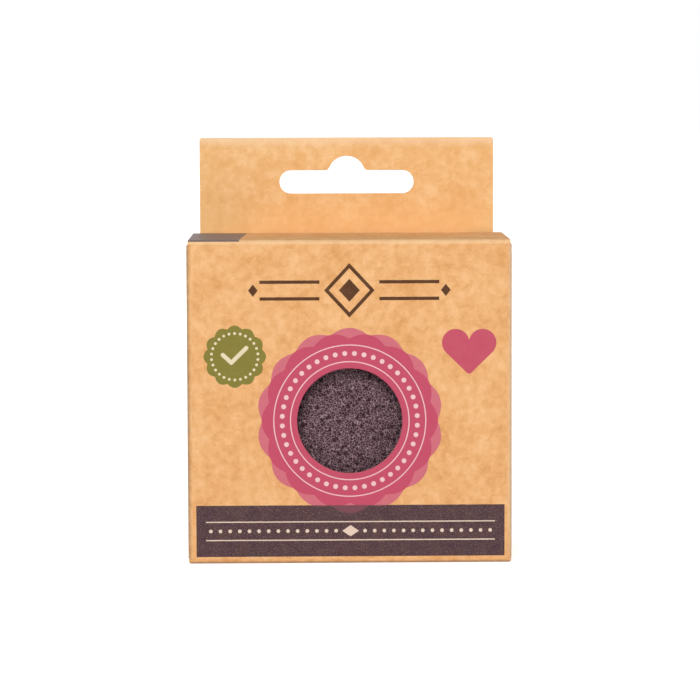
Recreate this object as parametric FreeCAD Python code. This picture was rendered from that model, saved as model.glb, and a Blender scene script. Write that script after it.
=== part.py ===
import FreeCAD, Part
import math
import os

os.makedirs("parts", exist_ok=True)

Vector = FreeCAD.Vector
X = Vector(1, 0, 0)
Y = Vector(0, 1, 0)
Z = Vector(0, 0, 1)

# Sponge: a dry half ball, its dome towards the window
sponge_diameter = 64.0
sponge_depth = 30.35
sponge_rim_bevel = 3.0

# Free room around the sponge inside the closed carton
side_room = 4.55
head_room = 8.8
front_room = 2.0
back_room = 0.4
rest_gap = 0.3

# Paperboard and its creases
board = 0.45
fold_radius = 1.1

# Window in the front panel, centred on the sponge
window_diameter = 24.0

# Hang tab: the back panel carried on above the lid, with a slot for a shop peg
tab_inset = 2.0
tab_height = 23.0
tab_corner_radius = 0.6
slot_width = 32.0
slot_arm_height = 5.5
slot_bump_radius = 4.45
slot_shoulder_radius = 1.0
slot_base_height = 9.7

# Glued seam at the back left edge
glue_flap_width = 12.0
glue_flap_taper = 3.0
glue_flap_end_gap = 1.5
seam_edge_setback = 0.3
back_edge_setback = 0.2

# Lid and bottom closure: hinged at the front, tucked in at the back
lid_side_gap = 0.4
tuck_gap = 0.9
tuck_side_gap = 0.4
tuck_length = 10.0
tuck_corner_radius = 6.0
slit_length = 7.0
lock_lug = 0.7

# Dust flaps: hinged on the side panels, lying under the lid
flap_gap = 0.2
dust_length = 20.0
dust_front_setback = 1.6
dust_bevel_share = 0.77
dust_rear_gap = 0.7
dust_shoulder_length = 6.0
dust_shoulder_step = 1.4
dust_corner_radius = 3.0

# Overrun of every cutting tool
overrun = 1.0

# Carton sizes that follow from the sponge, its room and the board
carton_width = sponge_diameter + 2 * (side_room + board)
carton_depth = board + front_room + sponge_depth + back_room + board + tuck_gap + board
carton_height = board + rest_gap + sponge_diameter + head_room + board
half_width = carton_width / 2
front = -carton_depth / 2
back = carton_depth / 2
sponge_radius = sponge_diameter / 2
sponge_centre_z = board + rest_gap + sponge_radius
flap_top = carton_height - board - flap_gap
side_low = board + flap_gap + fold_radius
side_high = flap_top - fold_radius
tuck_outer = back - board - tuck_gap
tuck_inner = tuck_outer - board
lid_half_width = half_width - lid_side_gap


def on_arc(centre, start, end):
    """The point halfway along the shorter arc from start to end."""
    way = (start - centre) + (end - centre)
    return centre + way.normalize() * start.distanceToPoint(centre)


def arc(centre, start, end):
    return Part.Arc(start, on_arc(centre, start, end), end).toShape()


def line(start, end):
    return Part.LineSegment(start, end).toShape()


def face_of(edges):
    return Part.Face(Part.Wire(Part.__sortEdges__(edges)))


def rounded_face(corners):
    """A flat face from (point, radius) corners; a radius is limited by the sides beside it."""
    edges = []
    ends = []
    count = len(corners)
    for index, (point, radius) in enumerate(corners):
        before = corners[index - 1][0] - point
        after = corners[(index + 1) % count][0] - point
        if radius == 0:
            ends.append((point, point))
            continue
        half_angle = before.getAngle(after) / 2
        reach = min(radius / math.tan(half_angle), before.Length / 2, after.Length / 2)
        start = point + before.normalize() * reach
        end = point + after.normalize() * reach
        bisector = (before + after).normalize()
        centre = point + bisector * (reach / math.cos(half_angle))
        edges.append(arc(centre, start, end))
        ends.append((start, end))
    for index in range(count):
        start = ends[index][1]
        end = ends[(index + 1) % count][0]
        if start.distanceToPoint(end) > 0:
            edges.append(line(start, end))
    return face_of(edges)


def board_section(corner, along, outward, length, fold_start, fold_end):
    """The board's thickness seen along its creases.

    It runs from corner in the direction along, with its outer side facing outward. A fold turns that
    end inward through a quarter round, until it is tangent to the next panel.
    """

    def at(run, rise):
        return corner + along * run + outward * rise

    edges = []
    outer_start = at(0, 0)
    inner_start = at(0, -board)
    outer_end = at(length, 0)
    inner_end = at(length, -board)
    if fold_start:
        centre = at(fold_radius, -fold_radius)
        tip_outer = at(0, -fold_radius)
        tip_inner = at(board, -fold_radius)
        outer_start = at(fold_radius, 0)
        inner_start = at(fold_radius, -board)
        edges += [arc(centre, tip_outer, outer_start), arc(centre, inner_start, tip_inner)]
        edges.append(line(tip_inner, tip_outer))
    else:
        edges.append(line(inner_start, outer_start))
    if fold_end:
        centre = at(length - fold_radius, -fold_radius)
        tip_outer = at(length, -fold_radius)
        tip_inner = at(length - board, -fold_radius)
        outer_end = at(length - fold_radius, 0)
        inner_end = at(length - fold_radius, -board)
        edges += [arc(centre, outer_end, tip_outer), arc(centre, tip_inner, inner_end)]
        edges.append(line(tip_outer, tip_inner))
    else:
        edges.append(line(outer_end, inner_end))
    edges += [line(outer_start, outer_end), line(inner_start, inner_end)]
    return face_of(edges)


def panel(corner, along, outward, length, across, fold_start=False, fold_end=False):
    """One panel of board: its section carried across by the vector across."""
    return board_section(corner, along, outward, length, fold_start, fold_end).extrude(across)


def front_panel():
    corner = Vector(-half_width + fold_radius, front, fold_radius)
    height = carton_height - 2 * fold_radius
    sheet = panel(corner, X, -Y, carton_width - 2 * fold_radius, Z * height)
    window = Part.makeCylinder(
        window_diameter / 2, board + 2 * overrun, Vector(0, front - overrun, sponge_centre_z), Y
    )
    return sheet.cut(window)


def side_height():
    return Z * (side_high - side_low)


def right_side_panel():
    corner = Vector(half_width, front, side_low)
    return panel(corner, Y, X, carton_depth, side_height(), fold_start=True, fold_end=True)


def left_side_panel():
    """It ends in a cut edge at the back, lapping over the glue flap."""
    corner = Vector(-half_width, front, side_low)
    return panel(corner, Y, -X, carton_depth - seam_edge_setback, side_height(), fold_start=True)


def back_panel():
    left_end = -half_width + board + fold_radius
    right_end = half_width - fold_radius
    corner = Vector(left_end, back, back_edge_setback)
    return panel(corner, X, Y, right_end - left_end, Z * (carton_height - back_edge_setback))


def glue_flap():
    """Folded from the back panel and glued inside the left side panel, its free edge tapered."""
    low = side_low + glue_flap_end_gap
    high = side_high - glue_flap_end_gap
    corner = Vector(-half_width + board, back, low)
    sheet = panel(corner, -Y, -X, glue_flap_width, Z * (high - low), fold_start=True)
    crease = back - fold_radius
    free_edge = back - glue_flap_width
    side = -half_width + board
    outline = [
        (Vector(side, back, low), 0),
        (Vector(side, crease, low), 0),
        (Vector(side, free_edge, low + glue_flap_taper), glue_flap_taper),
        (Vector(side, free_edge, high - glue_flap_taper), glue_flap_taper),
        (Vector(side, crease, high), 0),
        (Vector(side, back, high), 0),
    ]
    return sheet.common(rounded_face(outline).extrude(X * (board + fold_radius)))


def peg_slot():
    """Outline of the peg slot: a long slot with a round bump in the middle of its upper side."""
    low = carton_height + slot_base_height
    high = low + slot_arm_height
    arm_radius = slot_arm_height / 2
    reach = slot_width / 2 - arm_radius
    middle = low + arm_radius
    plane = back - board - overrun

    def at(x, z):
        return Vector(x, plane, z)

    bump_centre = at(0, low + slot_bump_radius)
    bump_top = at(0, low + 2 * slot_bump_radius)
    shoulder_rise = high + slot_shoulder_radius - bump_centre.z
    shoulder_x = math.sqrt((slot_bump_radius + slot_shoulder_radius) ** 2 - shoulder_rise**2)
    edges = [line(at(-reach, low), at(reach, low))]
    for side in (-1, 1):
        arm_end = at(side * (reach + arm_radius), middle)
        edges.append(Part.Arc(at(side * reach, low), arm_end, at(side * reach, high)).toShape())
        shoulder_centre = at(side * shoulder_x, high + slot_shoulder_radius)
        shoulder_foot = at(side * shoulder_x, high)
        way = (shoulder_centre - bump_centre).normalize()
        shoulder_top = bump_centre + way * slot_bump_radius
        edges.append(line(at(side * reach, high), shoulder_foot))
        edges.append(arc(shoulder_centre, shoulder_foot, shoulder_top))
        edges.append(arc(bump_centre, shoulder_top, bump_top))
    return face_of(edges).extrude(Y * (board + 2 * overrun))


def hang_tab():
    half = half_width - tab_inset
    low = carton_height
    high = carton_height + tab_height
    plane = back - board
    outline = [
        (Vector(-half, plane, low), 0),
        (Vector(half, plane, low), 0),
        (Vector(half, plane, high), tab_corner_radius),
        (Vector(-half, plane, high), tab_corner_radius),
    ]
    return rounded_face(outline).extrude(Y * board).cut(peg_slot())


def lid():
    """Its front crease, its flat panel and the two lugs that the slits leave at its rear corners."""
    corner = Vector(-lid_half_width, front, carton_height)
    crease = tuck_outer - fold_radius
    sheet = panel(corner, Y, Z, crease - front, X * (2 * lid_half_width), fold_start=True)
    for side in (-1, 1):
        inner = side * (lid_half_width - slit_length)
        outer = side * lid_half_width
        plane = carton_height - board
        outline = [
            (Vector(inner, crease, plane), 0),
            (Vector(outer, crease, plane), 0),
            (Vector(outer, crease + lock_lug, plane), lock_lug),
            (Vector(inner, crease + lock_lug, plane), 0),
        ]
        sheet = sheet.fuse(rounded_face(outline).extrude(Z * board))
    return sheet.removeSplitter()


def lid_tuck_flap():
    """It hangs from the lid between the two slits, and is wider below them."""
    half = half_width - 2 * board - tuck_side_gap
    between_slits = lid_half_width - slit_length
    low = carton_height - tuck_length
    slit = carton_height - fold_radius
    plane = tuck_outer - fold_radius
    corner = Vector(-half, tuck_outer, carton_height)
    sheet = panel(corner, -Z, Y, tuck_length, X * (2 * half), fold_start=True)
    outline = [
        (Vector(-between_slits, plane, carton_height), 0),
        (Vector(-between_slits, plane, slit), 0),
        (Vector(-half, plane, slit), 0),
        (Vector(-half, plane, low), tuck_corner_radius),
        (Vector(half, plane, low), tuck_corner_radius),
        (Vector(half, plane, slit), 0),
        (Vector(between_slits, plane, slit), 0),
        (Vector(between_slits, plane, carton_height), 0),
    ]
    return sheet.common(rounded_face(outline).extrude(Y * fold_radius))


def right_dust_flap():
    """Front edge bevelled to clear the opening lid, rear edge stepped to catch the lid's lugs."""
    bevel_front = front + dust_front_setback
    tip_front = bevel_front + dust_length * dust_bevel_share
    rear = tuck_inner - dust_rear_gap
    tip_rear = rear - dust_shoulder_step
    tip = half_width - dust_length
    shoulder = half_width - dust_shoulder_length
    corner = Vector(half_width, bevel_front, flap_top)
    sheet = panel(corner, -X, Z, dust_length, Y * (rear - bevel_front), fold_start=True)
    plane = flap_top - fold_radius
    outline = [
        (Vector(half_width, bevel_front, plane), 0),
        (Vector(tip, tip_front, plane), dust_corner_radius),
        (Vector(tip, tip_rear, plane), dust_corner_radius),
        (Vector(shoulder, tip_rear, plane), dust_shoulder_step),
        (Vector(shoulder, rear, plane), dust_shoulder_step / 2),
        (Vector(half_width, rear, plane), 0),
    ]
    return sheet.common(rounded_face(outline).extrude(Z * fold_radius))


def sponge():
    """A ball's dome that faces the window, with a bevelled rim and a flat back."""
    apex = front + board + front_room
    flat = apex + sponge_depth
    rim = flat - sponge_rim_bevel
    dome_height = rim - apex
    dome_radius = (sponge_radius**2 + dome_height**2) / (2 * dome_height)

    def at(radius, y):
        return Vector(radius, y, sponge_centre_z)

    edges = [
        arc(at(0, apex + dome_radius), at(0, apex), at(sponge_radius, rim)),
        line(at(sponge_radius, rim), at(sponge_radius - sponge_rim_bevel, flat)),
        line(at(sponge_radius - sponge_rim_bevel, flat), at(0, flat)),
        line(at(0, flat), at(0, apex)),
    ]
    return face_of(edges).revolve(at(0, apex), Y, 360)


def mirrored_left(shape):
    return shape.mirror(Vector(), X)


def mirrored_down(shape):
    """The bottom closure repeats the top one, upside down."""
    return shape.mirror(Z * (carton_height / 2), Z)


closure = {"lid": lid(), "lid_tuck_flap": lid_tuck_flap(), "top_right_dust_flap": right_dust_flap()}
closure["top_left_dust_flap"] = mirrored_left(closure["top_right_dust_flap"])

parts = {
    "front_panel": front_panel(),
    "right_side_panel": right_side_panel(),
    "left_side_panel": left_side_panel(),
    "back_panel": back_panel(),
    "hang_tab": hang_tab(),
    "glue_flap": glue_flap(),
    "sponge": sponge(),
    **closure,
    "bottom_panel": mirrored_down(closure["lid"]),
    "bottom_tuck_flap": mirrored_down(closure["lid_tuck_flap"]),
    "bottom_right_dust_flap": mirrored_down(closure["top_right_dust_flap"]),
    "bottom_left_dust_flap": mirrored_down(closure["top_left_dust_flap"]),
}

for name, shape in parts.items():
    solids = shape.Solids
    solid = solids[0]
    print(name, len(solids), "solid,", solid.isValid(), round(solid.Volume, 2), "mm3")
    solid.exportStep(f"parts/{name}.step")
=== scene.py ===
import math
import random

import bpy
import numpy as np
from mathutils import Matrix, Vector, kdtree, noise
from mathutils.geometry import delaunay_2d_cdt


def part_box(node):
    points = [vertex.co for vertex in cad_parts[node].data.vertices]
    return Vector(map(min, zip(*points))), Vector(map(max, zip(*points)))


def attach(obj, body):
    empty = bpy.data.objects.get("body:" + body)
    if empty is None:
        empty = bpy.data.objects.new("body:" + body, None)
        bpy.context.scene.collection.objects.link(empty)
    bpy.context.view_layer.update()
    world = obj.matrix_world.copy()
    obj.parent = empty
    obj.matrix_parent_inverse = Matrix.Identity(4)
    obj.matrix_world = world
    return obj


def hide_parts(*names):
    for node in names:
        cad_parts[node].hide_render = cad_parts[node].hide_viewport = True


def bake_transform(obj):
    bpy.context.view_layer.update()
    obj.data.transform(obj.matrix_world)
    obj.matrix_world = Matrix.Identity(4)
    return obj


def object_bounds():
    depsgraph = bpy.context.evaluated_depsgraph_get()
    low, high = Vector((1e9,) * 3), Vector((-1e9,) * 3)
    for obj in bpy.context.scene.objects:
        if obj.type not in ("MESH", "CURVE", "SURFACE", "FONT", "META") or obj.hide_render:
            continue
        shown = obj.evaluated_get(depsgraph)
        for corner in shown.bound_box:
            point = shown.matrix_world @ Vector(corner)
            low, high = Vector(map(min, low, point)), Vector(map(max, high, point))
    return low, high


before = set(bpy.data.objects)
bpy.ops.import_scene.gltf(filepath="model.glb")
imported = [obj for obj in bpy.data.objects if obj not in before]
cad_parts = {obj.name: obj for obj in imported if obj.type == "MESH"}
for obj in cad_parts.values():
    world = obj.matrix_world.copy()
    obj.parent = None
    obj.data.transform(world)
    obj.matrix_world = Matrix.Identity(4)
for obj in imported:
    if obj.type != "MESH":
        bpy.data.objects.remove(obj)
cad_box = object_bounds()

# Sizes read from the frame, in metres
front_low, front_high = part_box("front_panel")
right_low, right_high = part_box("right_side_panel")
left_low, left_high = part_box("left_side_panel")
back_low, back_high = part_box("back_panel")
tab_low, tab_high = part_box("hang_tab")
glue_low, glue_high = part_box("glue_flap")
_, lid_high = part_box("lid")
tuck_low, tuck_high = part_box("lid_tuck_flap")
dust_low, dust_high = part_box("top_right_dust_flap")
sponge_low, sponge_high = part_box("sponge")
front = front_low.y
back = back_high.y
board = front_high.y - front_low.y
half_width = right_high.x
fold = half_width - front_high.x
height = lid_high.z
quarter = fold * math.pi / 2
fold_top = height - fold

# Window and peg slot
window_radius = 0.012
window_z = (sponge_low.z + sponge_high.z) / 2
slot_width = 0.032
slot_arm_height = 0.0055
slot_bump_radius = 0.00445
slot_shoulder_radius = 0.001
slot_base_height = 0.0097
tab_corner_radius = 0.0006
corner_gap = 0.00005

# Flaps
glue_taper = 0.003
slit_length = 0.007
lock_lug = 0.0007
tuck_corner_radius = 0.006
dust_bevel_share = 0.77
dust_shoulder_length = 0.006
dust_shoulder_step = 0.0014
dust_corner_radius = 0.003

# How the board is meshed, and how far its panels swell from flat
board_step = 0.003
fold_steps = 10
arc_height = 0.000012
arc_height_share = 0.03
shortest_step = 0.00005
soft_edge = 0.00006
seam_edge = 0.000004
sharp_angle = math.radians(35)
sharp_turn_share = 0.3
millimetres = 1000.0
merge_millimetres = 1e-5
front_bow = 0.00018
side_bow = 0.00022
back_bow = 0.0002
tab_bow = 0.00025
lid_bow = 0.00012
lid_lift = 0.00035
lid_flare = 0.0001
lid_skew = 0.00035
bottom_flare = 0.00032
wall_corner_share = 0.8
wall_corner_radius = 0.0004

# Places of the panels on the flat sheet, so that the grain differs from panel to panel
side_offset = 0.12
back_offset = 0.25
glue_offset = 0.4
tuck_offset = 0.5
dust_offset = 0.6
bottom_offset = 0.3


def srgb(red, green, blue):
    """A colour given in display values from 0 to 255, as linear light with full alpha."""
    shares = [value / 255 for value in (red, green, blue)]
    linear = [c / 12.92 if c <= 0.04045 else ((c + 0.055) / 1.055) ** 2.4 for c in shares]
    return (*linear, 1.0)


# Outlines on the flat sheet


def arc_points(centre, radius, start, end):
    step = 2 * math.acos(1 - min(arc_height / radius, arc_height_share))
    count = max(2, math.ceil(abs(end - start) / step))
    angles = [start + (end - start) * i / count for i in range(count + 1)]
    return [(centre[0] + radius * math.cos(t), centre[1] + radius * math.sin(t)) for t in angles]


def circle_points(centre, radius):
    return arc_points(centre, radius, 0, 2 * math.pi)[:-1]


def rounded(corners):
    """A closed outline from (a, b, radius) corners, each rounded by its radius."""
    points = []
    count = len(corners)
    for index, (a, b, radius) in enumerate(corners):
        point = Vector((a, b))
        if radius == 0:
            points.append((a, b))
            continue
        before = Vector(corners[index - 1][:2]) - point
        after = Vector(corners[(index + 1) % count][:2]) - point
        half_angle = before.angle(after) / 2
        reach = min(radius / math.tan(half_angle), before.length / 2, after.length / 2)
        start = before.normalized() * reach
        end = after.normalized() * reach
        middle = (start + end).normalized() * (reach / math.cos(half_angle))
        first = math.atan2(start.y - middle.y, start.x - middle.x)
        last = math.atan2(end.y - middle.y, end.x - middle.x)
        turn = math.remainder(last - first, 2 * math.pi)
        points += arc_points(point + middle, reach * math.tan(half_angle), first, first + turn)
    return points


def rectangle(length, width):
    return [(0.0, 0.0), (length, 0.0), (length, width), (0.0, width)]


def peg_slot(middle, low):
    """A long slot with round ends and a round bump in the middle of its upper side."""
    arm = slot_arm_height / 2
    reach = slot_width / 2 - arm
    bump = low + slot_bump_radius
    shoulder = low + slot_arm_height + slot_shoulder_radius
    shoulder_x = math.sqrt((slot_bump_radius + slot_shoulder_radius) ** 2 - (shoulder - bump) ** 2)
    lean = math.atan2(shoulder - bump, shoulder_x)
    down = -math.pi / 2
    points = arc_points((middle + reach, low + arm), arm, down, -down)
    points += arc_points((middle + shoulder_x, shoulder), slot_shoulder_radius, down, lean - math.pi)
    points += arc_points((middle, bump), slot_bump_radius, lean, math.pi - lean)[1:-1]
    points += arc_points((middle - shoulder_x, shoulder), slot_shoulder_radius, -lean, down)
    points += arc_points((middle - reach, low + arm), arm, -down, -3 * down)
    return points


# Board: a flat outline is meshed on both faces, given its cut edges and folded into place


def hump(share):
    """0 at both ends of the share and 1 in its middle."""
    share = np.clip(share, 0, 1)
    return 4 * share * (1 - share)


class Fold:
    """Where a point of a flat panel goes: a straight run, with a quarter round at either end.

    The run starts at corner in the direction along, the printed face looks outward, and width is
    the panel's size in the direction across.
    """

    def __init__(
        self, corner, along, outward, across, length, width, start=False, end=False, bow=0.0, lift=0.0
    ):
        vectors = (corner, along, outward, across)
        self.corner, self.along, self.outward, self.across = map(np.array, vectors)
        self.length = length
        self.width = width
        self.start = start
        self.end = end
        self.bow = bow
        self.lift = lift
        self.flat = length + (start + end) * (quarter - fold)
        self.flips = np.dot(np.cross(self.along, self.across), self.outward) < 0

    def lines(self):
        """Places along the run where the mesh has points: close together in the quarter rounds."""
        low = quarter if self.start else 0.0
        high = self.flat - (quarter if self.end else 0.0)
        count = max(1, round((high - low) / board_step))
        lines = [low + (high - low) * i / count for i in range(count + 1)]
        arcs = [quarter * i / fold_steps for i in range(fold_steps)]
        if self.start:
            lines = arcs + lines
        if self.end:
            lines += [self.flat - a for a in reversed(arcs)]
        return lines

    def turned(self, angle, run, depth):
        """Places in the quarter round centred at that run, the angle counted from outward."""
        centre = self.corner + self.along * run - self.outward * fold
        way = self.outward * np.cos(angle) + self.along * np.sin(angle)
        return centre + way * (fold - depth)

    def place(self, a, b, depth):
        a, b, depth = (np.asarray(v, float)[:, None] for v in (a, b, depth))
        run = a - (quarter - fold) * self.start
        swell = self.bow * hump(run / self.length) * hump(b / self.width)
        spot = self.corner + self.along * run + self.outward * (swell - depth)
        if self.start:
            spot = np.where(a < quarter, self.turned((a - quarter) / fold, fold, depth), spot)
        if self.end:
            past = a - (self.flat - quarter)
            spot = np.where(past > 0, self.turned(past / fold, self.length - fold, depth), spot)
        rise = self.lift * np.clip((a - quarter) / (self.flat - quarter), 0, None)
        return spot + self.across * b + self.outward * rise


def dense(loop, lines, rows, folded):
    """The outline with points added where its sides cross the mesh's lines and rows."""
    points = []
    for (a0, b0), (a1, b1) in zip(loop, loop[1:] + loop[:1]):
        reach = math.hypot(a1 - a0, b1 - b0)
        cuts = []
        if folded or reach > board_step:
            for start, end, places in ((a0, a1, lines), (b0, b1, rows)):
                if abs(end - start) > shortest_step:
                    cuts += [(place - start) / (end - start) for place in places]
        margin = shortest_step / reach
        kept = [0.0]
        for cut in sorted(cuts):
            if kept[-1] + margin < cut < 1 - margin:
                kept.append(cut)
        points += [(a0 + (a1 - a0) * t, b0 + (b1 - b0) * t) for t in kept]
    return points


def inside(points, loops):
    """True for each point that lies inside an odd number of the closed loops."""
    result = np.zeros(len(points), bool)
    a, b = points[:, 0], points[:, 1]
    for loop in loops:
        for (a0, b0), (a1, b1) in zip(loop, loop[1:] + loop[:1]):
            crosses = (b0 > b) != (b1 > b)
            where = a0 + (b - b0) * (a1 - a0) / (b1 - b0 if b1 != b0 else 1.0)
            result ^= crosses & (a < where)
    return result


def inner_points(loops, lines, rows):
    """Mesh points inside the outline, kept off its edge except in the quarter rounds."""
    rim = np.concatenate(loops)
    grid = np.array([(a, b) for a in lines[1:-1] for b in rows])
    if not len(grid):
        return []
    lines = np.array(lines)
    pitch = np.array([np.sort(np.abs(lines - a))[1] for a in grid[:, 0]])
    room = np.where(pitch < board_step / 2, shortest_step, board_step / 4)
    clear = np.linalg.norm(grid[:, None] - rim[None], axis=2).min(axis=1) > room
    return grid[clear & inside(grid, loops)].tolist()


def triangles_of(loops, shape):
    """Points and triangles that fill the outline loops[0], without the holes in the other loops."""
    lines = shape.lines()
    edge_b = [b for _, b in loops[0]]
    count = 1 + round((max(edge_b) - min(edge_b)) / board_step)
    rows = np.linspace(min(edge_b), max(edge_b), count + 1)[1:-1]
    folded = shape.start or shape.end
    loops = [dense(loop, lines, rows, folded) for loop in loops]
    edges = []
    points = []
    for loop in loops:
        first = len(points)
        edges += [(first + i, first + (i + 1) % len(loop)) for i in range(len(loop))]
        points += loop
    points += inner_points(loops, lines, rows)
    scaled = [Vector(point) * millimetres for point in points]
    found, _, faces, *_ = delaunay_2d_cdt(scaled, edges, [], 0, merge_millimetres)
    points = np.array([tuple(point) for point in found]) / millimetres
    faces = np.array([face for face in faces if len(face) == 3])
    return points, faces[inside(points[faces].mean(axis=1), loops)]


def rim_of(points, faces, seam):
    """The outline's directed edges, and each outline point's offset to its softened edge."""
    directed = {(face[i], face[(i + 1) % 3]) for face in faces.tolist() for i in range(3)}
    edges = sorted((i, j) for i, j in directed if (j, i) not in directed)
    sides = {}
    for i, j in edges:
        step = points[j] - points[i]
        normal = np.array([step[1], -step[0]]) / np.linalg.norm(step)
        softness = seam_edge if seam(*(points[i] + points[j]) / 2) else soft_edge
        for end in (i, j):
            sides.setdefault(end, []).append((normal, softness))
    offsets = {}
    for end, ((n1, s1), (n2, s2)) in sides.items():
        turn = n1[0] * n2[1] - n1[1] * n2[0]
        if abs(turn) > sharp_turn_share:
            offset = np.linalg.solve(np.array([n1, n2]), np.array([s1, s2]))
        else:
            offset = (n1 * s1 + n2 * s2) / 2
        offsets[end] = (offset, min(s1, s2))
    return edges, offsets


def board_mesh(name, loops, shape, seam, die_line):
    """One panel as a closed mesh: outer face, inner face and softened cut edges between them."""
    points, faces = triangles_of(loops, shape)
    edges, offsets = rim_of(points, faces, seam)
    count = len(points)
    ends = sorted(offsets)
    order = {end: index for index, end in enumerate(ends)}
    drawn_in = points.copy()
    for end, (offset, _) in offsets.items():
        drawn_in[end] -= offset
    softness = np.array([offsets[end][1] for end in ends])
    flat = np.concatenate([drawn_in, drawn_in, points[ends], points[ends]])
    depth = np.concatenate([np.zeros(count), np.full(count, board), softness, board - softness])
    all_faces = [tuple(face) for face in faces.tolist()]
    all_faces += [tuple(i + count for i in reversed(face)) for face in faces.tolist()]
    slots = [0] * len(faces) + [1] * len(faces)
    for i, j in edges:
        upper_i, upper_j = 2 * count + order[i], 2 * count + order[j]
        lower_i, lower_j = upper_i + len(ends), upper_j + len(ends)
        rows = [(i, j), (upper_i, upper_j), (lower_i, lower_j), (i + count, j + count)]
        all_faces += [(p, r, s, q) for (p, q), (r, s) in zip(rows, rows[1:])]
        slots += [0, 2, 1]
    if shape.flips:
        all_faces = [tuple(reversed(face)) for face in all_faces]
    mesh = bpy.data.meshes.new(name)
    mesh.from_pydata(shape.place(flat[:, 0], flat[:, 1], depth).tolist(), [], all_faces)
    mesh.shade_smooth()
    mesh.set_sharp_from_angle(angle=sharp_angle)
    mesh.polygons.foreach_set("material_index", slots)
    sheet = np.column_stack([*die_line(flat[:, 0], flat[:, 1]), -depth])
    mesh.attributes.new("sheet", "FLOAT_VECTOR", "POINT").data.foreach_set("vector", sheet.ravel())
    return mesh


def show(name, mesh, materials):
    for material in materials:
        mesh.materials.append(material)
    piece = bpy.data.objects.new(name, mesh)
    bpy.context.scene.collection.objects.link(piece)
    return piece


# Shader graphs

matt_gloss = 0.15


class Value:
    """A number, place or colour in a shader graph, so that its nodes read as formulas."""

    def __init__(self, graph, socket):
        self.graph = graph
        self.socket = socket

    def math(self, operation, *others):
        return self.graph.math(operation, self, *others)

    def __add__(self, other):
        return self.math("ADD", other)

    def __sub__(self, other):
        return self.math("SUBTRACT", other)

    def __rsub__(self, other):
        return self.graph.math("SUBTRACT", other, self)

    def __mul__(self, other):
        return self.math("MULTIPLY", other)

    def __truediv__(self, other):
        return self.math("DIVIDE", other)

    def __neg__(self):
        return self.math("MULTIPLY", -1.0)

    def __abs__(self):
        return self.math("ABSOLUTE")

    def range(self, low, high, to_low=0.0, to_high=1.0):
        """What low and high become, with the values between them in step."""
        inputs = {0: self, 1: low, 2: high, 3: to_low, 4: to_high}
        return self.graph.value("ShaderNodeMapRange", 0, inputs, clamp=True)

    def mix(self, first, second):
        """The first colour where this is 0, and the second where it is 1."""
        inputs = {0: self, 6: first, 7: second}
        return self.graph.value("ShaderNodeMix", 2, inputs, data_type="RGBA")

    def noise(self, scale, detail=2.0, roughness=0.5, distortion=0.0):
        inputs = {"Vector": self, "Scale": scale, "Detail": detail}
        inputs |= {"Roughness": roughness, "Distortion": distortion}
        return self.graph.value("ShaderNodeTexNoise", "Fac", inputs)

    def stretched(self, factors):
        inputs = {0: self, 1: factors}
        return self.graph.value("ShaderNodeVectorMath", 0, inputs, operation="MULTIPLY")

    def part(self, axis):
        return self.graph.value("ShaderNodeSeparateXYZ", axis, {0: self})


class Graph:
    """The nodes of a material or a world, made by short calls."""

    def __init__(self, tree):
        self.tree = tree
        self.tree.nodes.clear()

    def node(self, kind, inputs=(), **settings):
        made = self.tree.nodes.new(kind)
        for key, value in settings.items():
            setattr(made, key, value)
        for key, value in dict(inputs).items():
            if isinstance(value, Value):
                self.tree.links.new(value.socket, made.inputs[key])
            else:
                made.inputs[key].default_value = value
        return made

    def value(self, kind, output, inputs=(), **settings):
        return Value(self, self.node(kind, inputs, **settings).outputs[output])

    def math(self, operation, *values):
        return self.value("ShaderNodeMath", 0, enumerate(values), operation=operation)

    def attribute(self, name, output="Vector"):
        return self.value("ShaderNodeAttribute", output, attribute_name=name)

    def surface(self, colour, roughness, rise, rise_height):
        """A matt surface with small hills and hollows."""
        bump = self.value("ShaderNodeBump", 0, {"Height": rise, "Distance": rise_height})
        inputs = {"Base Color": colour, "Roughness": roughness, "Normal": bump}
        inputs["Specular IOR Level"] = matt_gloss
        shader = self.value("ShaderNodeBsdfPrincipled", 0, inputs)
        self.node("ShaderNodeOutputMaterial", {0: shader})


def least(first, *others):
    for other in others:
        first = first.math("MINIMUM", other)
    return first


def most(first, *others):
    for other in others:
        first = first.math("MAXIMUM", other)
    return first


def new_material(name):
    material = bpy.data.materials.new(name)
    material.use_nodes = True
    return material, Graph(material.node_tree)


# Printed shapes, as distances in metres that are below zero inside


def radius_of(x, z):
    return (x * x + z * z).math("SQRT")


def angle_of(x, z):
    return z.math("ARCTAN2", x)


def box_distance(x, z, half_x, half_z):
    return most(abs(x) - half_x, abs(z) - half_z)


def diamond_distance(x, z, half_x, half_z):
    scale = half_x * half_z / math.hypot(half_x, half_z)
    return (abs(x) / half_x + abs(z) / half_z - 1.0) * scale


def band_of(distance, width):
    """A line of that width along a shape's outline."""
    return abs(distance) - width / 2


def scalloped_distance(radius, angle, low, high, lobes, turn=0.0):
    """A round badge with an edge of equal round lobes, between the radii low and high."""
    lobe = abs((angle * (lobes / 2) + turn).math("COSINE"))
    return radius - (lobe * (high - low) + low)


def dot_ring_distance(radius, angle, ring, count, dot):
    """A ring of evenly spaced dots."""
    share = (angle * (count / (2 * math.pi))).math("FRACT")
    along = (share - 0.5) * (2 * math.pi * ring / count)
    return radius_of(along, radius - ring) - dot


def dot_row_distance(x, z, pitch, dot, half):
    """A level row of evenly spaced dots, out to half on either side."""
    along = ((x / pitch).math("FRACT") - 0.5) * pitch
    return most(radius_of(along, z) - dot, abs(x) - half)


def stroke_distance(x, z, start, end, half):
    """A straight stroke with round ends."""
    way_x, way_z = end[0] - start[0], end[1] - start[1]
    from_x, from_z = moved(x, z, start)
    share = ((from_x * way_x + from_z * way_z) / (way_x**2 + way_z**2)).range(0.0, 1.0)
    return radius_of(from_x - share * way_x, from_z - share * way_z) - half


# Kraft board: colours and depths

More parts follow.
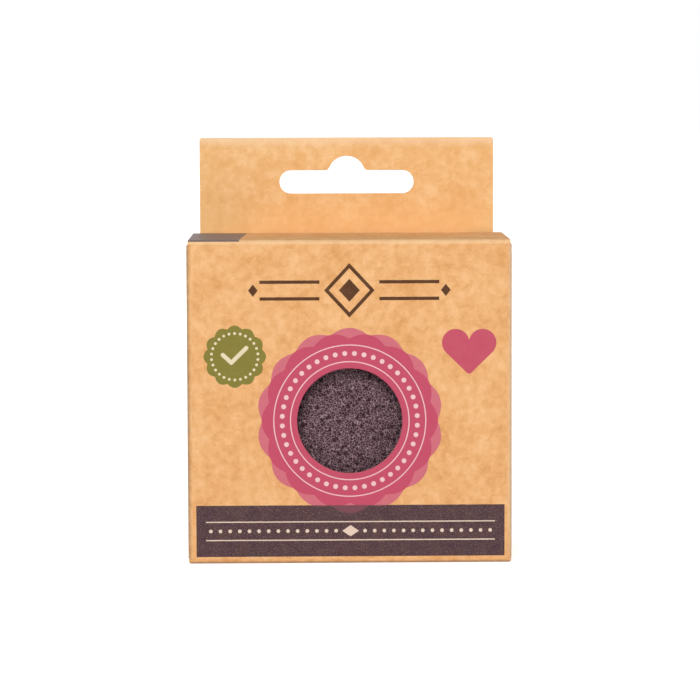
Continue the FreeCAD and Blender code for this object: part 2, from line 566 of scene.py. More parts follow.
kraft_shades = (srgb(227, 163, 102), srgb(240, 181, 121), srgb(249, 197, 141))
kraft_fleck = srgb(200, 138, 86)
# Painted highlight along the lid's front fold
kraft_fold_highlight = srgb(252, 212, 164)
# Painted shade for the left and bottom folds, and a painted pale sheen for the right fold
kraft_fold_shade = srgb(166, 137, 110)
kraft_fold_sheen = srgb(236, 209, 177)
# Tab: painted paler than the walls as if more brightly lit, a painted highlight along its top edge, and
# painted light at its foot that lifts the lid's shade
tab_lit_shades = (srgb(237, 180, 115), srgb(244, 190, 129), srgb(251, 206, 150))
tab_top_highlight = srgb(255, 222, 184)
tab_top_reach = 0.0024
tab_top_share = 0.65
tab_foot_painted_light = srgb(255, 206, 140)
tab_low_reach = 0.009
tab_low_share = 0.6
inner_shades = (srgb(196, 146, 100), srgb(226, 180, 130))
edge_shades = (srgb(190, 140, 96), srgb(236, 196, 150))
board_relief = 0.00003
inner_relief = 0.00004

# Kraft board: noises, as scale, detail, roughness and distortion
cloud_noise = (120.0, 3.0, 0.55)
patch_noise = (480.0, 4.0, 0.6, 0.4)
grain_noise = (1900.0, 2.0)
fibre_along_stretch = (1.0, 7.0, 1.0)
fibre_along_noise = (420.0, 3.0, 0.6, 1.5)
fibre_across_stretch = (6.0, 1.0, 1.0)
fibre_across_noise = (460.0, 3.0, 0.6, 1.5)
# Patches that break up the painted shade and sheen on the folds
fold_patch_noise = (800.0, 3.0, 0.6)
ply_stretch = (0.3, 0.3, 12.0)
ply_noise = (900.0, 3.0, 0.6)

# Kraft board: ranges, as low, high and what these two become
cloud_tone = (0.32, 0.68, 0.0, 0.4)
patch_tone = (0.33, 0.67, 0.0, 0.42)
grain_tone = (0.25, 0.75, 0.0, 0.26)
dark_to_middle = (0.15, 0.5)
middle_to_light = (0.5, 0.9)
fleck_tone = (0.36, 0.46, 0.0, 0.35)
grain_rise_share = 0.5
board_rough = (0.2, 0.8, 0.72, 0.9)
inner_patch_share = 0.6
inner_grain_share = 0.4
inner_tone = (0.3, 0.7)
inner_fleck_tone = (0.34, 0.46, 0.0, 0.4)
inner_rough = (0.3, 0.7, 0.82, 0.95)
ply_tone = (0.3, 0.7)
ply_rough = (0.3, 0.7, 0.85, 0.95)
fold_patch_tone = (0.35, 0.65, 0.5, 1.0)
# Painted fold shade and sheen, as lengths along the sheet past the fold's start
fold_band_end = (0.0022, 0.0012)
left_shade_start = (0.0001, 0.0009)
bottom_shade_start = (0.0004, 0.001)
fold_shade_share = 0.85
right_sheen_start = (0.0, 0.0006)
right_sheen_share = 0.55


def kraft_tones(sheet):
    """Cloudy tone, patches, grain and short fibres of unbleached board, each from 0 to 1."""
    along = sheet.stretched(fibre_along_stretch).noise(*fibre_along_noise)
    across = sheet.stretched(fibre_across_stretch).noise(*fibre_across_noise)
    clouds = sheet.noise(*cloud_noise)
    patches = sheet.noise(*patch_noise)
    grain = sheet.noise(*grain_noise)
    return clouds, patches, grain, along * across


def kraft_material(name, shades):
    """A new material with its graph, place on the sheet, board colour and surface height."""
    material, graph = new_material(name)
    dark, middle, light = shades
    sheet = graph.attribute("sheet")
    clouds, patches, grain, fibres = kraft_tones(sheet)
    tone = clouds.range(*cloud_tone) + patches.range(*patch_tone) + grain.range(*grain_tone)
    colour = tone.range(*dark_to_middle).mix(dark, middle)
    colour = tone.range(*middle_to_light).mix(colour, light)
    colour = fibres.range(*fleck_tone).mix(colour, kraft_fleck)
    return material, graph, sheet, colour, grain * grain_rise_share + fibres


def fold_band(turn, start, share):
    """A band along a fold, from the length along the sheet past the fold's start."""
    return turn.range(*start) * turn.range(*fold_band_end) * share


def plain_kraft():
    """Unprinted board, with painted shade on its left and bottom folds and a painted pale sheen on its
    right ones.
    """
    material, graph, sheet, colour, rise = kraft_material("kraft_face", kraft_shades)
    x = sheet.part("X")
    bottom_turn = sheet.part("Y") - (fold_top + bottom_offset)
    fold_patches = sheet.noise(*fold_patch_noise).range(*fold_patch_tone)
    right_sheen = fold_band(x - side_offset, right_sheen_start, right_sheen_share)
    left_shade = fold_band(-side_offset - x, left_shade_start, fold_shade_share)
    bottom_shade = fold_band(bottom_turn, bottom_shade_start, fold_shade_share)
    # Painted sheen on the right fold, painted shade on the left and bottom folds
    colour = (right_sheen * fold_patches).mix(colour, kraft_fold_sheen)
    colour = (most(left_shade, bottom_shade) * fold_patches).mix(colour, kraft_fold_shade)
    graph.surface(colour, rise.range(*board_rough), rise, board_relief)
    return material


def tab_kraft():
    """The tab's board, painted paler than the walls as if more brightly lit, with a painted highlight
    along its top edge and painted light at its foot, where the lid shades it.
    """
    material, graph, sheet, colour, rise = kraft_material("kraft_tab", tab_lit_shades)
    z = sheet.part("Y")
    top = z.range(tab_high.z - tab_top_reach, tab_high.z, 0.0, tab_top_share)
    low = z.range(height + tab_low_reach, height, 0.0, tab_low_share)
    colour = low.mix(top.mix(colour, tab_top_highlight), tab_foot_painted_light)
    graph.surface(colour, rise.range(*board_rough), rise, board_relief)
    return material


def inner_kraft():
    material, graph = new_material("kraft_inside")
    clouds, patches, grain, fibres = kraft_tones(graph.attribute("sheet"))
    tone = patches * inner_patch_share + grain * inner_grain_share
    colour = tone.range(*inner_tone).mix(*inner_shades)
    colour = fibres.range(*inner_fleck_tone).mix(colour, kraft_fleck)
    graph.surface(colour, clouds.range(*inner_rough), grain + fibres, inner_relief)
    return material


def cut_kraft():
    """Cut edges: the plies of the board as fine streaks along the edge."""
    material, graph = new_material("kraft_cut_edge")
    plies = graph.attribute("sheet").stretched(ply_stretch).noise(*ply_noise)
    colour = plies.range(*ply_tone).mix(*edge_shades)
    graph.surface(colour, plies.range(*ply_rough), plies, board_relief)
    return material


# Print on the front panel and the lid, in metres on the sheet: x sideways, z up and over the lid

ink_edge = 0.00007
ink_thin = 0.92
ink_grain = (0.36, 0.62)
ink_fine_noise = (3300.0, 2.0, 0.6)
ink_fine_share = 0.65
ink_coarse_noise = (380.0, 3.0, 0.6)
ink_coarse_share = 0.35
ink_wander = 0.00008
ink_wander_scale = 1400.0
ink_bar = srgb(72, 53, 63)
ink_bar_speck = srgb(158, 132, 134)
ink_pale = srgb(240, 216, 196)
ink_pink = srgb(201, 82, 107)
ink_pink_outer = srgb(212, 112, 128)
ink_pink_on_bar = srgb(130, 79, 89)
ink_blush = srgb(246, 206, 208)
ink_green = srgb(132, 126, 56)
ink_cream = srgb(240, 226, 190)
ink_brown = srgb(82, 49, 33)
ink_block = srgb(117, 103, 103)

# Printed bar; its row of dots as pitch, dot radius and reach
bar_speck_noise = (3800.0, 1.0)
bar_speck_range = (0.6, 0.68)
bar_speck_cover = 0.55
bar_centre = (0.0001, 0.0075)
bar_half = (0.0352, 0.0059)
bar_rule_half = (0.033, 0.00013)
bar_rule_offset = 0.0021
bar_dot_row = (0.0022, 0.00042, 0.0325)
bar_diamond_half = (0.0019, 0.0013)

# Rosette and seal; edges as low and high radius and lobes, dot rings as radius, count and dot radius
rosette_edge = (0.0188, 0.0201, 14)
rosette_rim = 0.0011
rosette_on_bar_cover = 0.9
rosette_dot_ring = (0.0154, 44, 0.00055)
rosette_lines = (0.0135, 0.0173)
rosette_line_width = 0.00024
seal_centre = (-0.0261, 0.0475)
seal_edge = (0.0064, 0.0071, 12)
seal_dot_ring = (0.0053, 26, 0.00032)
tick_points = ((-0.0027, 0.0004), (-0.00078, -0.00137), (0.00263, 0.00197))
tick_half = 0.00048

# Heart, badge, block, and the painted highlight along the lid's front fold
heart_tip = (0.0272, 0.0431)
heart_lobe = 0.00313
heart_spread = 0.00307
heart_lobe_rise = 0.00737
heart_blunt = 0.0003
badge_z = 0.0625
badge_diamond = (0.0052, 0.0056)
badge_core = (0.0024, 0.0026)
badge_line = 0.0008
badge_rule_centre = 0.0136
badge_rule_half = (0.0068, 0.00038)
badge_rule_offset = 0.0019
badge_end = 0.0219
badge_end_diamond = (0.0011, 0.0014)
block_right = -0.025
block_slant = 0.04
block_low = 0.00078
block_roughness = 0.47
block_high = 0.033
fold_highlight_start = (-0.0001, 0.0003)
fold_highlight_end = (0.0017, 0.0012)
fold_highlight_grain = (0.4, 0.6, 0.35, 0.75)
print_rough = (0.2, 0.8, 0.68, 0.88)


def moved(x, z, centre):
    return x - centre[0], z - centre[1]


def inked(colour, distance, ink, speckle, cover=1.0):
    """The shape printed on the colour below, which shows through in fine specks."""
    mask = distance.range(ink_edge / 2, -ink_edge / 2)
    share = mask * speckle.range(*ink_grain, ink_thin * cover, cover)
    return share.mix(colour, ink)


def bar_print(colour, x, z, speckle, specks):
    x, z = moved(x, z, bar_centre)
    bar = box_distance(x, z, *bar_half)
    colour = inked(colour, bar, ink_bar, speckle)
    colour = inked(colour, most(bar, specks), ink_bar_speck, speckle, bar_speck_cover)
    rules = box_distance(x, abs(z) - bar_rule_offset, *bar_rule_half)
    dots = dot_row_distance(x, z, *bar_dot_row)
    diamond = diamond_distance(x, z, *bar_diamond_half)
    return inked(colour, least(rules, dots, diamond), ink_pale, speckle), bar


def rosette_print(colour, x, z, speckle, bar):
    x, z = moved(x, z, (0.0, window_z))
    radius, angle = radius_of(x, z), angle_of(x, z)
    outer = scalloped_distance(radius, angle, *rosette_edge, math.pi / 2) - rosette_rim
    inner = scalloped_distance(radius, angle, *rosette_edge)
    colour = inked(colour, most(outer, -bar), ink_pink_outer, speckle)
    colour = inked(colour, most(inner, -bar), ink_pink, speckle)
    colour = inked(colour, most(outer, bar), ink_pink_on_bar, speckle, rosette_on_bar_cover)
    dots = dot_ring_distance(radius, angle, *rosette_dot_ring)
    lines = [band_of(radius - ring, rosette_line_width) for ring in rosette_lines]
    return inked(colour, least(dots, *lines), ink_blush, speckle)


def seal_print(colour, x, z, speckle):
    x, z = moved(x, z, seal_centre)
    radius, angle = radius_of(x, z), angle_of(x, z)
    seal = scalloped_distance(radius, angle, *seal_edge)
    colour = inked(colour, seal, ink_green, speckle)
    dots = dot_ring_distance(radius, angle, *seal_dot_ring)
    ends = zip(tick_points, tick_points[1:])
    strokes = [stroke_distance(x, z, start, end, tick_half) for start, end in ends]
    return inked(colour, least(dots, *strokes), ink_cream, speckle)


def heart_print(colour, x, z, speckle):
    """Two round lobes, and between their outer tangents the wedge down to the tip."""
    x, z = moved(x, z, heart_tip)
    x = abs(x)
    reach = math.hypot(heart_spread, heart_lobe_rise)
    slope = math.atan2(heart_lobe_rise, heart_spread) - math.asin(heart_lobe / reach)
    sine, cosine = math.sin(slope), math.cos(slope)
    notch = heart_lobe_rise + math.sqrt(heart_lobe**2 - heart_spread**2)
    lobe_x, lobe_z = moved(x, z, (heart_spread, heart_lobe_rise))
    lobe = radius_of(lobe_x, lobe_z) - heart_lobe
    off_line = x * sine - z * cosine
    along = lobe_x * cosine + lobe_z * sine
    wedge = most(off_line, along, z - notch, heart_blunt - z)
    return inked(colour, least(lobe, wedge), ink_pink, speckle)


def badge_print(colour, x, z, speckle):
    """A diamond between two pairs of rules."""
    z = z - badge_z
    side = abs(x)
    outline = band_of(diamond_distance(x, z, *badge_diamond), badge_line)
    core = diamond_distance(x, z, *badge_core)
    rules = box_distance(side - badge_rule_centre, abs(z) - badge_rule_offset, *badge_rule_half)
    ends = diamond_distance(side - badge_end, z, *badge_end_diamond)
    return inked(colour, least(outline, core, rules, ends), ink_brown, speckle)


def block_print(colour, x, z, speckle):
    """A plain dark block on the lid's left end, its inner end slanted."""
    over = z - fold_top
    right = over * block_slant + block_right
    block = most(x - right, block_low - over, over - block_high)
    return inked(colour, block, ink_block, speckle), block


def printed_kraft():
    material, graph, sheet, colour, rise = kraft_material("kraft_printed", kraft_shades)
    fine = sheet.noise(*ink_fine_noise)
    coarse = sheet.noise(*ink_coarse_noise)
    speckle = fine * ink_fine_share + coarse * ink_coarse_share
    wander = (sheet.noise(ink_wander_scale) - 0.5) * ink_wander
    x = sheet.part("X") + wander
    z = sheet.part("Y") + wander
    specks = sheet.noise(*bar_speck_noise).range(*bar_speck_range, ink_edge, -ink_edge)
    colour, bar = bar_print(colour, x, z, speckle, specks)
    colour = rosette_print(colour, x, z, speckle, bar)
    for figure in (seal_print, heart_print, badge_print):
        colour = figure(colour, x, z, speckle)
    # Painted highlight along the lid's front fold, patchy with the ink's speckle
    crease = z - fold_top
    fold_highlight = crease.range(*fold_highlight_start) * crease.range(*fold_highlight_end) * speckle.range(*fold_highlight_grain)
    colour = fold_highlight.mix(colour, kraft_fold_highlight)
    colour, block = block_print(colour, x, z, speckle)
    on_block = block.range(-ink_edge, ink_edge, block_roughness, 1.0)
    graph.surface(colour, least(rise.range(*print_rough), on_block), rise, board_relief)
    return material


# Materials of each panel's outer face, inner face and cut edges

kraft_inside = inner_kraft()
kraft_cut = cut_kraft()
kraft_tab = tab_kraft()
printed_faces = [printed_kraft(), kraft_inside, kraft_cut]
plain_faces = [plain_kraft(), kraft_inside, kraft_cut]
tab_faces = [kraft_tab, kraft_tab, kraft_cut]


# Panels: loops on the flat sheet, the shape that folds them, seams and places on the sheet


def settle(node):
    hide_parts(node)


def wall(name, node, slot, materials, *parts):
    """A panel of the carton's tube."""
    piece = show(name, board_mesh(name, *parts), materials)
    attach(piece, "carton")
    settle(node)


def flap(name, node, slot, materials, parent, start, end, *parts):
    """A closing panel, its mesh baked in place; parent, start and end are not used."""
    piece = show(name, board_mesh(name, *parts), materials)
    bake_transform(piece)
    settle(node)


def mirrored(edge, width):
    """A closed outline from its near edge and that edge's mirror image at the far side."""
    return rounded(edge + [(a, width - b, radius) for a, b, radius in reversed(edge)])


def near(value, target):
    return abs(value - target) < shortest_step / 2


def start_seam(a, b):
    """The seam of a panel that is joined only where its run starts."""
    return near(a, 0)


def front_board():
    width = front_high.z - front_low.z
    length = front_high.x - front_low.x
    shape = Fold(front_low, (1, 0, 0), (0, -1, 0), (0, 0, 1), length, width, bow=front_bow)
    window = circle_points((-front_low.x, window_z - front_low.z), window_radius)
    loops = [rectangle(length, width), window]

    def seam(a, b):
        return near(a, 0) or near(a, length) or near(b, 0) or near(b, width)

    def die_line(a, b):
        return a + front_low.x, b + front_low.z

    wall("front_panel_board", "front_panel", "kraft_board", printed_faces, loops, shape, seam, die_line)


def side_board(name, node, side, low, high, folded_end):
    """A side wall with its front fold. The right one has a rear fold too, the left one a cut edge."""
    width = high.z - low.z
    length = high.y - front
    corner = (side * half_width, front, low.z)
    shape = Fold(corner, (0, 1, 0), (side, 0, 0), (0, 0, 1), length, width, True, folded_end, side_bow)
    rise = front_high.z - high.z - corner_gap
    reach = dust_low.y - front + quarter - fold - corner_gap
    turn = quarter * wall_corner_share
    edge = [(0, -rise, 0), (turn, -rise, wall_corner_radius), (reach, 0, 0), (shape.flat, 0, 0)]
    loops = [mirrored(edge, width)]

    def seam(a, b):
        return near(a, 0) or (folded_end and near(a, shape.flat))

    def die_line(a, b):
        return side * (side_offset + a), b + low.z

    wall(name, node, "kraft_board", plain_faces, loops, shape, seam, die_line)


def back_board():
    width = back_high.z - back_low.z
    length = back_high.x - back_low.x
    corner = (back_low.x, back, back_low.z)
    shape = Fold(corner, (1, 0, 0), (0, 1, 0), (0, 0, 1), length, width, bow=back_bow)
    loops = [rectangle(length, width)]

    def seam(a, b):
        x, z = a + back_low.x, b + back_low.z
        at_tab = near(b, width) and tab_low.x < x < tab_high.x
        at_right = near(a, length) and right_low.z < z < right_high.z
        at_left = near(a, 0) and glue_low.z < z < glue_high.z
        return at_tab or at_right or at_left

    def die_line(a, b):
        return back_offset - a, b + back_low.z

    wall("back_panel_board", "back_panel", "kraft_board", plain_faces, loops, shape, seam, die_line)


def tab_board():
    width = tab_high.z - height
    length = tab_high.x - tab_low.x
    corner = (tab_low.x, back, height)
    shape = Fold(corner, (1, 0, 0), (0, 1, 0), (0, 0, 1), length, width, bow=-tab_bow)
    top = [(length, width, tab_corner_radius), (0, width, tab_corner_radius)]
    loops = [rounded([(0, 0, 0), (length, 0, 0), *top]), peg_slot(length / 2, slot_base_height)]

    def seam(a, b):
        return near(b, 0)

    def die_line(a, b):
        return back_offset - (a + tab_low.x - back_low.x), b + height

    wall("hang_tab_board", "hang_tab", "kraft_board", tab_faces, loops, shape, seam, die_line)


def glue_board():
    width = glue_high.z - glue_low.z
    length = back - glue_low.y
    corner = (glue_low.x, back, glue_low.z)
    shape = Fold(corner, (0, -1, 0), (-1, 0, 0), (0, 0, 1), length, width, True)
    edge = [(0, 0, 0), (quarter, 0, 0), (shape.flat, glue_taper, glue_taper)]
    loops = [mirrored(edge, width)]

    def die_line(a, b):
        return glue_offset + a, b

    wall("glue_flap_board", "glue_flap", "kraft_inner", plain_faces, loops, shape, start_seam, die_line)


def at_level(z, up):
    """A height in the top closure, or the same place in the bottom one, its mirror image."""
    return z if up > 0 else height - z


def lid_board(name, node, up, materials, offset, flare, bow=0.0, lift=0.0, skew=0.0):
    """The lid or the bottom panel, with its front fold and the lugs that the slits leave."""
    half = lid_high.x
    width = 2 * half
    length = tuck_high.y - fold - front
    corner = (-half, front, at_level(height, up))
    shape = Fold(corner, (0, 1, 0), (0, 0, up), (1, 0, 0), length, width, True, bow=bow, lift=lift)
    flat = shape.flat
    lug_end = flat + lock_lug
    outline = [
        (0, -flare, 0),
        (quarter, 0, 0),
        (lug_end, 0, lock_lug / 2),
        (lug_end, slit_length, 0),
        (flat, slit_length, 0),
        (flat, width - slit_length, 0),
        (lug_end, width - slit_length, 0),
        (lug_end, width + skew, lock_lug / 2),
        (quarter, width, 0),
        (0, width + flare, 0),
    ]

    def seam(a, b):
        return near(a, 0) or near(a, flat)

    def die_line(a, b):
        return b - half, fold_top + a + offset

    start = (0, front, at_level(fold_top, up))
    end = (0, front + fold, at_level(height, up))
    parts = ([rounded(outline)], shape, seam, die_line)
    flap(name, node, "kraft_board", materials, "carton", start, end, *parts)


def tuck_board(name, node, parent, up, lift=0.0):
    """The tuck flap: it hangs between the lid's two slits, and is wider below them."""
    half = tuck_high.x
    width = 2 * half
    length = tuck_high.z - tuck_low.z
    corner = (-half, tuck_high.y, at_level(height, up) + lift)
    shape = Fold(corner, (0, 0, -up), (0, 1, 0), (1, 0, 0), length, width, True)
    slit = half - (lid_high.x - slit_length)
    edge = [(0, slit, 0), (quarter, slit, 0), (quarter, 0, 0), (shape.flat, 0, tuck_corner_radius)]

    def die_line(a, b):
        return tuck_offset + b, a * up

    start = (0, tuck_high.y - fold, at_level(height, up))
    end = (0, tuck_high.y, at_level(fold_top, up))
    parts = ([mirrored(edge, width)], shape, start_seam, die_line)
    flap(name, node, "kraft_inner", plain_faces, parent, start, end, *parts)


def dust_board(name, side, up):
    """A dust flap: front edge bevelled, rear edge stepped where the lid's lugs catch."""
    node = f"{name}_flap"
    width = dust_high.y - dust_low.y
    length = half_width - dust_low.x
    corner = (side * half_width, dust_low.y, at_level(dust_high.z, up))
    shape = Fold(corner, (-side, 0, 0), (0, 0, up), (0, 1, 0), length, width, True)
    shoulder = dust_shoulder_length + quarter - fold
    tip_rear = width - dust_shoulder_step
    outline = [
        (0, 0, 0),
        (quarter, fold * dust_bevel_share, 0),
        (shape.flat, length * dust_bevel_share, dust_corner_radius),
        (shape.flat, tip_rear, dust_corner_radius),
        (shoulder, tip_rear, dust_shoulder_step),
        (shoulder, width, dust_shoulder_step / 2),
        (0, width, 0),
    ]

    def die_line(a, b):
        return (dust_offset + a) * side, b + up * dust_offset

    start = (side * half_width, 0, at_level(dust_low.z, up))
    end = (side * (half_width - fold), 0, at_level(dust_high.z, up))
    parts = ([rounded(outline)], shape, start_seam, die_line)
    flap(f"{name}_board", node, "kraft_inner", plain_faces, "carton", start, end, *parts)


front_board()
side_board("right_side_board", "right_side_panel", 1, right_low, right_high, True)
side_board("left_side_board", "left_side_panel", -1, left_low, left_high, False)
back_board()
tab_board()
glue_board()
lid_board("lid_board", "lid", 1, printed_faces, 0.0, lid_flare, lid_bow, lid_lift, lid_skew)
lid_board("bottom_board", "bottom_panel", -1, plain_faces, bottom_offset, bottom_flare)
tuck_board("lid_tuck_board", "lid_tuck_flap", "lid", 1, lid_lift)
tuck_board("bottom_tuck_board", "bottom_tuck_flap", "bottom_panel", -1)
for level, up in (("top", 1), ("bottom", -1)):
    for hand, side in (("right", 1), ("left", -1)):
        dust_board(f"{level}_{hand}_dust", side, up)


# Sponge

sponge_radius = sponge_high.x
sponge_rim = 0.0034
sponge_step = 0.0003
sponge_back_step = 0.00055
point_spread = 0.5
press_share = 0.5
press_reach = 0.027
sponge_seed = 11
cell_pitch = 0.0005
cell_depth_low = 0.00005
cell_depth_high = 0.00025
cell_wall = 0.45
cell_spread = 0.9
cell_tone = 0.28
hole_pitch = 0.0017
hole_share = 0.5
hole_radius_range = (0.00026, 0.00047)
hole_depth = 0.0006
hole_tone = 0.85
lump_size = 0.009
lump_depth = 0.0003
# Sponge colours: ridges painted pale as if lit, the sponge's own middle tone, painted shade deep in the
# cells and holes, and pale specks
sponge_lit_ridge = srgb(176, 145, 152)
sponge_wall = srgb(92, 65, 73)
sponge_pore_shade = srgb(53, 35, 42)
sponge_speck = srgb(205, 184, 188)
sponge_relief = 0.00012

# Sponge: fine web, noises and ranges of its surface
web_scale = 1680.0
web_gaps = (0.016, 0.19, 0.0, 0.66)
web_rise = (0.12, 0.0, 0.0, 0.4)
mottle_noise = (900.0, 4.0, 0.65)
mottle_tone = (0.3, 0.7, -0.1, 0.1)
mottle_rise_share = 0.6
fine_noise = (4600.0, 2.0, 0.6)
fine_rough = (0.3, 0.7, 0.75, 0.95)
ridge_to_wall = (0.0, 0.35)
wall_to_pore = (0.35, 1.0)
speck_tone = (0.53, 0.65, 0.0, 0.9)
speck_depth = (0.5, 0.1)


def eased(share):
    """The share, kept from 0 to 1 and slowed at both ends."""
    share = min(1.0, max(0.0, share))
    return share * share * (3 - 2 * share)


def pressed(radius, drop):
    """How far the dome lies behind its middle: less near the window, where the wall flattens it."""
    share = (press_reach - radius) / (press_reach - window_radius)
    return drop * (1 - press_share * eased(share))


def sponge_profile():
    """The section as a function of its length, from the dome's middle round to the back's middle."""
    apex, flat = sponge_low.y, sponge_high.y
    reach = sponge_radius - sponge_rim
    rise = flat - apex - sponge_rim
    dome = (reach**2 + rise**2 - sponge_rim**2) / (2 * (rise - sponge_rim))
    rim_y = flat - sponge_rim
    turn = math.atan2(reach, apex + dome - rim_y)
    dome_run = dome * turn
    rim_run = sponge_rim * (math.pi - turn)

    def at(run):
        """Radius, y and the outward normal's radius and y parts."""
        if run < dome_run:
            angle = run / dome
            out, way = math.sin(angle), -math.cos(angle)
            return dome * out, apex + pressed(dome * out, dome + dome * way), out, way
        if run < dome_run + rim_run:
            angle = turn + (run - dome_run) / sponge_rim
            out, way = math.sin(angle), -math.cos(angle)
            return reach + sponge_rim * out, rim_y + sponge_rim * way, out, way
        return max(0.0, reach - (run - dome_run - rim_run)), flat, 0.0, 1.0

    return at, dome_run + rim_run, reach


def ring_lattice(step, back_step, spread, rng):
    """Rings of evenly spread points all over the sponge, as (positions, normals, ring sizes)."""
    at, edge_run, reach = sponge_profile()
    rings = round(edge_run / step)
    back_rings = round(reach / back_step)
    runs = [edge_run * i / rings for i in range(rings + 1)]
    runs += [edge_run + reach * i / back_rings for i in range(1, back_rings + 1)]
    spots, normals, sizes = [], [], []
    for run in runs:
        pitch = step if run <= edge_run else back_step
        radius = at(run)[0]
        count = max(1, round(2 * math.pi * radius / pitch)) if radius > pitch / 2 else 1
        first = rng.random()
        sizes.append(count)
        for i in range(count):
            loose = count > 1
            shift = run + loose * spread * pitch * (rng.random() - 0.5)
            angle = 2 * math.pi * (i + first + loose * spread * (rng.random() - 0.5)) / count
            ring, y, out, way = at(min(max(shift, 0.0), runs[-1]))
            around = (math.cos(angle), math.sin(angle))
            spots.append((ring * around[0], y, window_z + ring * around[1]))
            normals.append((out * around[0], way, out * around[1]))
    return np.array(spots), np.array(normals), sizes


def stitched(spots, sizes):
    """Triangles between neighbouring rings of different sizes."""
    angles = np.arctan2(spots[:, 2] - window_z, spots[:, 0]) % (2 * math.pi)
    faces = []
    first = 0
    for size, next_size in zip(sizes, sizes[1:]):
        inner = sorted(range(first, first + size), key=lambda i: angles[i])
        outer = sorted(range(first + size, first + size + next_size), key=lambda i: angles[i])
        i = j = 0
        while i < size or j < next_size:
            inner_next = angles[inner[(i + 1) % size]] + 2 * math.pi * (i + 1 >= size)
            outer_next = angles[outer[(j + 1) % next_size]] + 2 * math.pi * (j + 1 >= next_size)
            here, there = inner[i % size], outer[j % next_size]
            if j < next_size and (i >= size or outer_next <= inner_next):
                j += 1
                after = outer[j % next_size]
            else:
                i += 1
                after = inner[i % size]
            if after not in (here, there):
                faces.append((here, there, after))
        first += size
    return faces


def tree_of(places):
    tree = kdtree.KDTree(len(places))
    for index, place in enumerate(places):
        tree.insert(place, index)
    tree.balance()
    return tree


def dented(spots, normals, rng):
    """Positions with cells and holes pressed in, and how deep each point lies in them."""
    cells, _, _ = ring_lattice(cell_pitch, cell_pitch, cell_spread, rng)
    depths = [rng.uniform(cell_depth_low, cell_depth_high) for _ in cells]
    cell_tree = tree_of(cells)
    holes, _, _ = ring_lattice(hole_pitch, hole_pitch, cell_spread, rng)
    holes = [hole for hole in holes if rng.random() < hole_share]
    hole_sizes = [rng.uniform(*hole_radius_range) for _ in holes]
    hole_tree = tree_of(holes)
    moved_spots = spots.copy()
    pores = np.zeros(len(spots))
    for index, spot in enumerate(spots):
        (_, cell, nearest), (_, _, second) = cell_tree.find_n(spot, 2)
        depth = depths[cell] * eased((second - nearest) / cell_pitch / cell_wall)
        _, hole, away = hole_tree.find(spot)
        well = max(0.0, 1 - (away / hole_sizes[hole]) ** 2)
        lump = 0.5 + 0.5 * noise.noise(Vector(spot) / lump_size)
        moved_spots[index] -= normals[index] * (max(depth, hole_depth * well) + lump_depth * lump)
        pores[index] = max(cell_tone * depth / cell_depth_high, hole_tone * well)
    return moved_spots, pores


def sponge_material():
    material, graph = new_material("sponge_pores")
    place = graph.attribute("rest_place")
    cells = {"Vector": place, "Scale": web_scale}
    web = graph.value("ShaderNodeTexVoronoi", "Distance", cells, feature="DISTANCE_TO_EDGE")
    mottle = place.noise(*mottle_noise)
    fine = place.noise(*fine_noise)
    depth = graph.attribute("pore", "Fac") + mottle.range(*mottle_tone) + web.range(*web_gaps)
    # Painted shade that deepens with the depth of cells, holes and web gaps, pale as if lit on the
    # ridges, over a random mottle
    colour = depth.range(*ridge_to_wall).mix(sponge_lit_ridge, sponge_wall)
    colour = depth.range(*wall_to_pore).mix(colour, sponge_pore_shade)
    specks = fine.range(*speck_tone) * depth.range(*speck_depth)
    colour = specks.mix(colour, sponge_speck)
    rise = mottle * mottle_rise_share + fine + web.range(*web_rise)
    graph.surface(colour, fine.range(*fine_rough), rise, sponge_relief)
    return material


def sponge_piece():
    rng = random.Random(sponge_seed)
    spots, normals, sizes = ring_lattice(sponge_step, sponge_back_step, point_spread, rng)
    faces = stitched(spots, sizes)
    shaped, pores = dented(spots, normals, rng)
    mesh = bpy.data.meshes.new("sponge_body")
    mesh.from_pydata(shaped.tolist(), [], faces)
    mesh.shade_smooth()
    mesh.attributes.new("pore", "FLOAT", "POINT").data.foreach_set("value", pores)
    rest_place = mesh.attributes.new("rest_place", "FLOAT_VECTOR", "POINT")
    rest_place.data.foreach_set("vector", shaped.ravel())
    piece = show("sponge_body", mesh, [sponge_material()])
    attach(piece, "sponge")
    settle("sponge")


sponge_piece()


# Stage

floor_half = 60.0
floor_drop = 0.0001
floor_colour = srgb(245, 245, 245)
floor_roughness = 0.9
floor_gloss = 0.1
floor_glow = 0.65
floor_far_glow = 1.0
floor_near = 0.15
floor_far = 0.6
ambient = 0.2
white = (1, 1, 1, 1)

# Lights, as place, size and power
rear_size = 1.0
rear_power = 13.0
lights = {
    "key": ((-0.6, -2.3, 1.5), 1.6, 46.5),
    "front_fill": ((0.5, -1.6, 0.1), 0.4, 2.6),
    "side_fill": ((0.9, -0.5, 0.5), 0.7, 1.1),
    "rear_right_fill": ((1.1, 1.7, 0.3), rear_size, rear_power),
    "rear_left_fill": ((-1.3, 1.5, 0.3), rear_size, rear_power),
}
aim = (0.0, 0.0, 0.04)

# Camera
image_size = 700
focal_pixels = 2792.0
sensor = 36.0
camera_place = (-0.0106, -0.65, 0.0988)
camera_pitch = math.radians(4.51)
camera_yaw = math.radians(0.969)
camera_roll = math.radians(-0.193)


def seen_directly(graph):
    """1 for camera, mirror and see-through rays, 0 for the rays that light the object."""
    rays = ("Is Camera Ray", "Is Glossy Ray", "Is Transmission Ray")
    return most(*(graph.value("ShaderNodeLightPath", ray) for ray in rays))


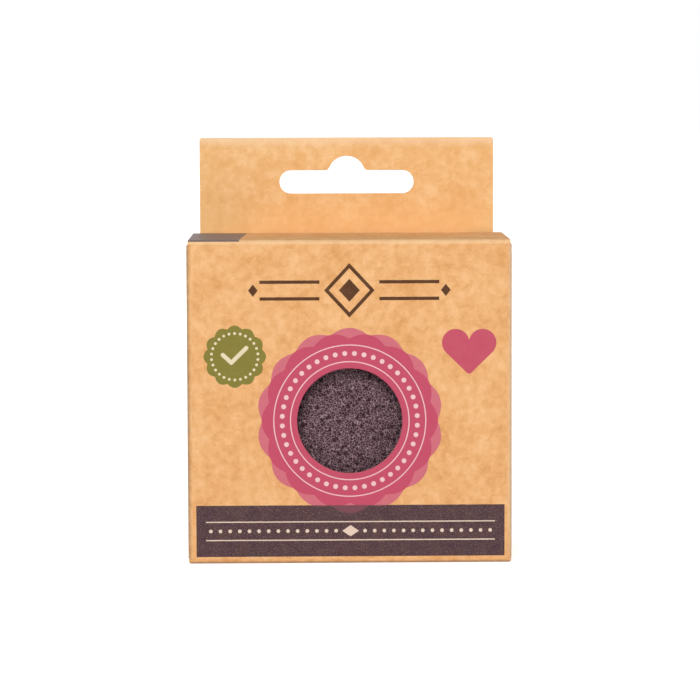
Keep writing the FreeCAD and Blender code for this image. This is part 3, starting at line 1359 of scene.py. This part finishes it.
def make_world():
    world = bpy.data.worlds.new("studio")
    world.use_nodes = True
    graph = Graph(world.node_tree)
    strength = seen_directly(graph) * (1.0 - ambient) + ambient
    background = graph.value("ShaderNodeBackground", 0, {"Color": white, "Strength": strength})
    graph.node("ShaderNodeOutputWorld", {0: background})
    bpy.context.scene.world = world


def make_floor():
    material, graph = new_material("floor_paper")
    place = graph.value("ShaderNodeTexCoord", "Object")
    away = graph.value("ShaderNodeVectorMath", "Value", {0: place}, operation="LENGTH")
    glow = seen_directly(graph) * away.range(floor_near, floor_far, floor_glow, floor_far_glow)
    inputs = {"Base Color": floor_colour, "Roughness": floor_roughness}
    inputs |= {"Specular IOR Level": floor_gloss, "Emission Color": white, "Emission Strength": glow}
    shader = graph.value("ShaderNodeBsdfPrincipled", 0, inputs)
    graph.node("ShaderNodeOutputMaterial", {0: shader})
    mesh = bpy.data.meshes.new("floor")
    level = cad_box[0].z - floor_drop
    signs = [(-1, -1), (1, -1), (1, 1), (-1, 1)]
    corners = [(x * floor_half, y * floor_half, level) for x, y in signs]
    mesh.from_pydata(corners, [], [(0, 1, 2, 3)])
    show("floor", mesh, [material])


def make_light(name, place, size, power):
    data = bpy.data.lights.new(name, "AREA")
    data.shape = "DISK"
    data.size = size
    data.energy = power
    light = bpy.data.objects.new(name, data)
    light.location = place
    light.rotation_euler = (Vector(aim) - Vector(place)).to_track_quat("-Z", "Y").to_euler()
    bpy.context.scene.collection.objects.link(light)


def make_camera():
    data = bpy.data.cameras.new("camera")
    data.sensor_width = sensor
    data.lens = focal_pixels / image_size * sensor
    camera = bpy.data.objects.new("camera", data)
    bpy.context.scene.collection.objects.link(camera)
    yaw = Matrix.Rotation(-camera_yaw, 4, "Z")
    pitch = Matrix.Rotation(math.pi / 2 - camera_pitch, 4, "X")
    roll = Matrix.Rotation(camera_roll, 4, "Z")
    camera.matrix_world = Matrix.Translation(camera_place) @ yaw @ pitch @ roll
    bpy.context.scene.camera = camera


make_world()
make_floor()
for light_name, light_values in lights.items():
    make_light(light_name, *light_values)
make_camera()
bpy.context.scene.view_settings.view_transform = "Standard"
